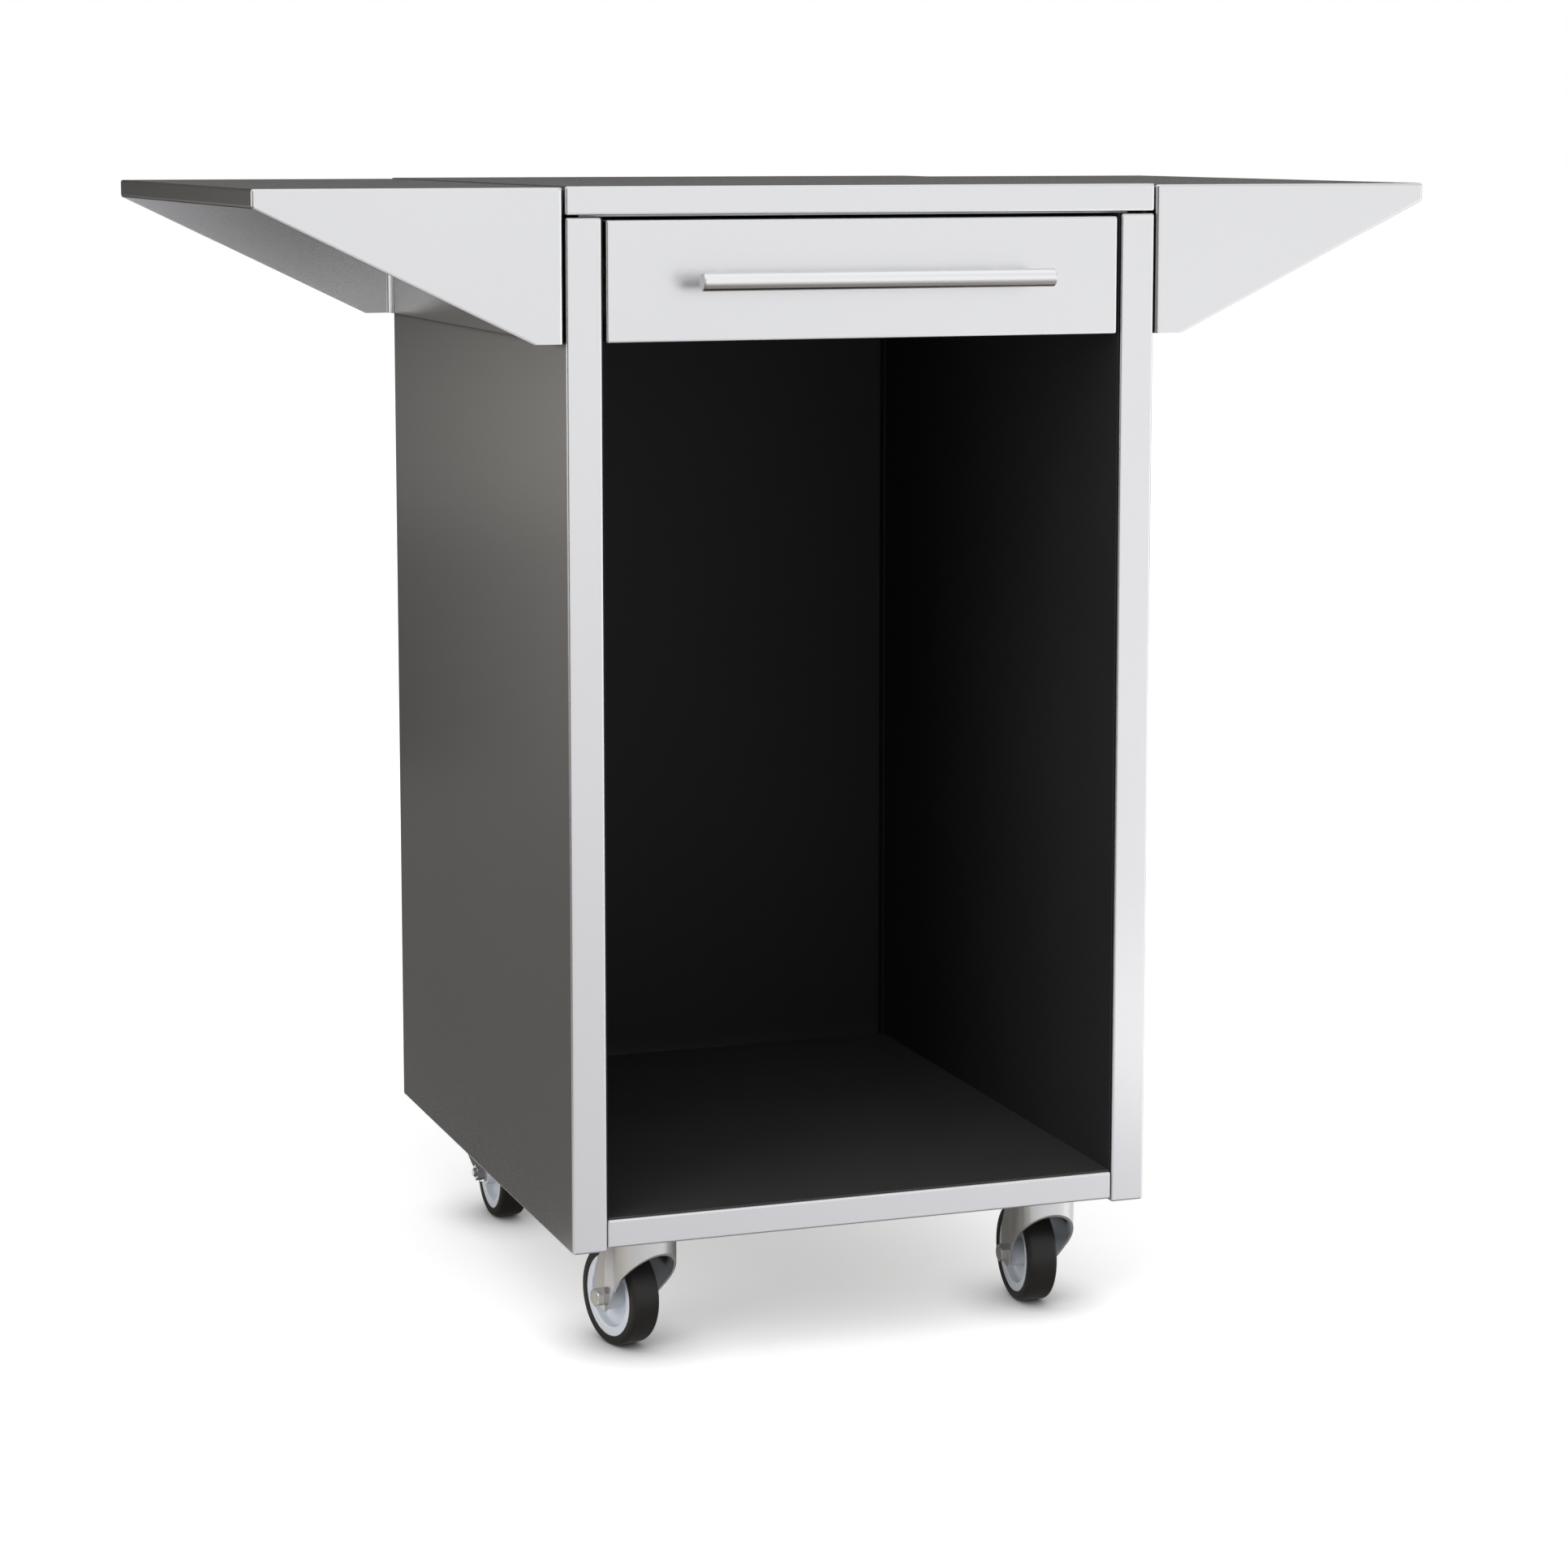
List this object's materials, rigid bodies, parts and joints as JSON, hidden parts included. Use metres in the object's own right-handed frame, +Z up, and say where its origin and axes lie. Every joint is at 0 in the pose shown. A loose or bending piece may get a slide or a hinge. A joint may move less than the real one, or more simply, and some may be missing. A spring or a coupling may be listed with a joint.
{
  "type": "rolling cabinet",
  "caption": "Rolling stainless cabinet with a bar-handled drawer over an open black-lined compartment, a worktop with bracketed side shelves, and swivel casters.",
  "frame": {"origin": "on the floor, under the middle of the overall box (shelf to shelf, handle to back)", "axes": "+X to the right as seen from the front, +Y to the back, +Z up"},
  "size_m": [0.948, 0.573, 0.91],
  "materials": {
    "brushed_stainless": "brushed stainless sheet, grain along each panel",
    "black_coat": "matt black coating",
    "plain_steel": "plain folded steel, no grain",
    "zinc_plate": "bright zinc plate",
    "polished_steel": "polished stainless bar",
    "fastener_steel": "plated fastener",
    "grey_nylon": "moulded light grey plastic",
    "dark_tread": "dark grey elastic tread"
  },
  "bodies": {
    "cabinet": {"back_panel": "brushed_stainless", "back_screws": "fastener_steel", "base_pan": "brushed_stainless", "caster_bolts": "fastener_steel", "floor_liner": "black_coat", "frame_rivets": "fastener_steel", "front_caster_channel": "plain_steel", "front_left_caster_plate": "zinc_plate", "front_right_caster_plate": "zinc_plate", "front_top_rail": "plain_steel", "kingpins": "zinc_plate", "left_liner": "black_coat", "left_runner_outer": "zinc_plate", "left_shelf": "brushed_stainless", "left_shelf_mount": "plain_steel", "left_side_panel": "brushed_stainless", "rear_caster_channel": "plain_steel", "rear_left_caster_plate": "zinc_plate", "rear_liner": "black_coat", "rear_right_caster_plate": "zinc_plate", "rear_top_rail": "plain_steel", "right_liner": "black_coat", "right_runner_outer": "zinc_plate", "right_shelf": "brushed_stainless", "right_shelf_mount": "plain_steel", "right_side_panel": "brushed_stainless", "shelf_bolts": "fastener_steel", "worktop": "brushed_stainless"},
    "runner_middles": {"left_runner_middle": "zinc_plate", "right_runner_middle": "zinc_plate"},
    "drawer": {"drawer_front": "brushed_stainless", "drawer_box": "plain_steel", "left_runner_inner": "zinc_plate", "right_runner_inner": "zinc_plate", "handle_bar": "polished_steel", "handle_posts": "polished_steel", "drawer_screws": "fastener_steel"},
    "front_left_caster_fork": {"front_left_fork": "zinc_plate", "front_left_axle_fasteners": "fastener_steel", "front_left_axle_sleeve": "zinc_plate"},
    "front_left_wheel": {"front_left_wheel_core": "grey_nylon", "front_left_tyre": "dark_tread"},
    "front_right_caster_fork": {"front_right_fork": "zinc_plate", "front_right_axle_fasteners": "fastener_steel", "front_right_axle_sleeve": "zinc_plate"},
    "front_right_wheel": {"front_right_wheel_core": "grey_nylon", "front_right_tyre": "dark_tread"},
    "rear_left_caster_fork": {"rear_left_fork": "zinc_plate", "rear_left_axle_fasteners": "fastener_steel", "rear_left_axle_sleeve": "zinc_plate"},
    "rear_left_wheel": {"rear_left_wheel_core": "grey_nylon", "rear_left_tyre": "dark_tread"},
    "rear_right_caster_fork": {"rear_right_fork": "zinc_plate", "rear_right_axle_fasteners": "fastener_steel", "rear_right_axle_sleeve": "zinc_plate"},
    "rear_right_wheel": {"rear_right_wheel_core": "grey_nylon", "rear_right_tyre": "dark_tread"}
  },
  "joints": [
    {"name": "drawer_slide", "type": "slide", "parent": "cabinet", "child": "drawer", "axis": [0, -1, 0], "range_m": [0, 0.44]},
    {"name": "runner_slide", "type": "slide", "parent": "cabinet", "child": "runner_middles", "axis": [0, -1, 0], "range_m": [0, 0.22]},
    {"name": "front_left_swivel", "type": "hinge", "parent": "cabinet", "child": "front_left_caster_fork", "pos_m": [-0.169, -0.2095, 0.10295], "axis": [0, 0, 1], "continuous": true},
    {"name": "front_left_roll", "type": "hinge", "parent": "front_left_caster_fork", "child": "front_left_wheel", "pos_m": [-0.17776, -0.17561, 0.04], "axis": [0.9681, 0.2504, 0], "continuous": true},
    {"name": "front_right_swivel", "type": "hinge", "parent": "cabinet", "child": "front_right_caster_fork", "pos_m": [0.169, -0.2095, 0.10295], "axis": [0, 0, 1], "continuous": true},
    {"name": "front_right_roll", "type": "hinge", "parent": "front_right_caster_fork", "child": "front_right_wheel", "pos_m": [0.17022, -0.17452, 0.04], "axis": [0.9994, -0.0349, 0], "continuous": true},
    {"name": "rear_left_swivel", "type": "hinge", "parent": "cabinet", "child": "rear_left_caster_fork", "pos_m": [-0.169, 0.2445, 0.10295], "axis": [0, 0, 1], "continuous": true},
    {"name": "rear_left_roll", "type": "hinge", "parent": "rear_left_caster_fork", "child": "rear_left_wheel", "pos_m": [-0.16808, 0.20951, 0.04], "axis": [-0.9997, -0.0262, 0], "continuous": true},
    {"name": "rear_right_swivel", "type": "hinge", "parent": "cabinet", "child": "rear_right_caster_fork", "pos_m": [0.169, 0.2445, 0.10295], "axis": [0, 0, 1], "continuous": true},
    {"name": "rear_right_roll", "type": "hinge", "parent": "rear_right_caster_fork", "child": "rear_right_wheel", "pos_m": [0.16292, 0.21003, 0.04], "axis": [-0.9848, 0.1736, 0], "continuous": true}
  ],
  "couplings": [
    {"joint": "runner_slide", "follows": "drawer_slide", "ratio": 0.5}
  ]
}
